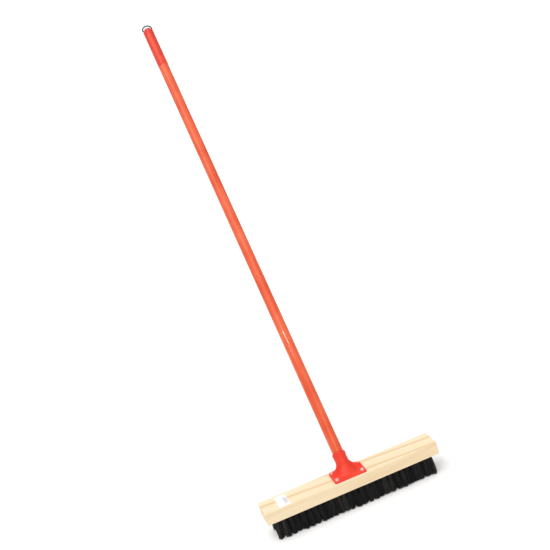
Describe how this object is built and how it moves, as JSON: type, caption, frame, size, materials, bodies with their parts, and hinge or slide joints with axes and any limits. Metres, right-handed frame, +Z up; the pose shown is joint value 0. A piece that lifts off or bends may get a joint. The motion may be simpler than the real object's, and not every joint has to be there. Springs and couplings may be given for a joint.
{
  "type": "push broom",
  "caption": "Push broom: flat pine block with short black bristles, red plastic bracket and a long leaning coated steel handle with grip cap and hanging loop.",
  "frame": {"origin": "on the floor, at the middle of the bristle tips' flat underside", "axes": "+X along the block, +Y back, the way the handle leans, +Z up"},
  "size_m": [0.41, 0.8082, 1.0663],
  "materials": {
    "pine": "bare planed softwood, fine straight grain",
    "bristle": "black synthetic bristle, slight sheen",
    "anchor_wire": "bright drawn flat wire",
    "red_plastic": "moulded, semi-gloss",
    "screw_steel": "bright zinc plated",
    "label_paper": "matt coated paper",
    "tip_plastic": "moulded, satin",
    "tube_steel": "plain rolled steel",
    "orange_coating": "smooth glossy film",
    "cap_plastic": "soft glossy vinyl",
    "loop_plastic": "black moulded, satin"
  },
  "bodies": {
    "head": {"block": "pine", "bristle_row_1": "bristle", "bristle_row_2": "bristle", "bristle_row_3": "bristle", "bristle_row_4": "bristle", "bristle_row_5": "bristle", "tuft_anchors_1": "anchor_wire", "tuft_anchors_2": "anchor_wire", "tuft_anchors_3": "anchor_wire", "tuft_anchors_4": "anchor_wire", "tuft_anchors_5": "anchor_wire", "bracket": "red_plastic", "bracket_screws": "screw_steel", "price_label": "label_paper"},
    "handle": {"threaded_tip": "tip_plastic", "handle_tube": "tube_steel", "handle_coating": "orange_coating", "end_cap": "cap_plastic"},
    "loop": {"hanging_loop": "loop_plastic"}
  },
  "joints": [
    {"name": "handle_removal", "type": "slide", "parent": "head", "child": "handle", "axis": [0, 0.6157, 0.788], "range_m": [0, 0.045]},
    {"name": "loop_swing", "type": "hinge", "parent": "handle", "child": "loop", "pos_m": [0, 0.76787, 1.0535], "axis": [1, 0, 0], "range_deg": [-100, 100]}
  ]
}
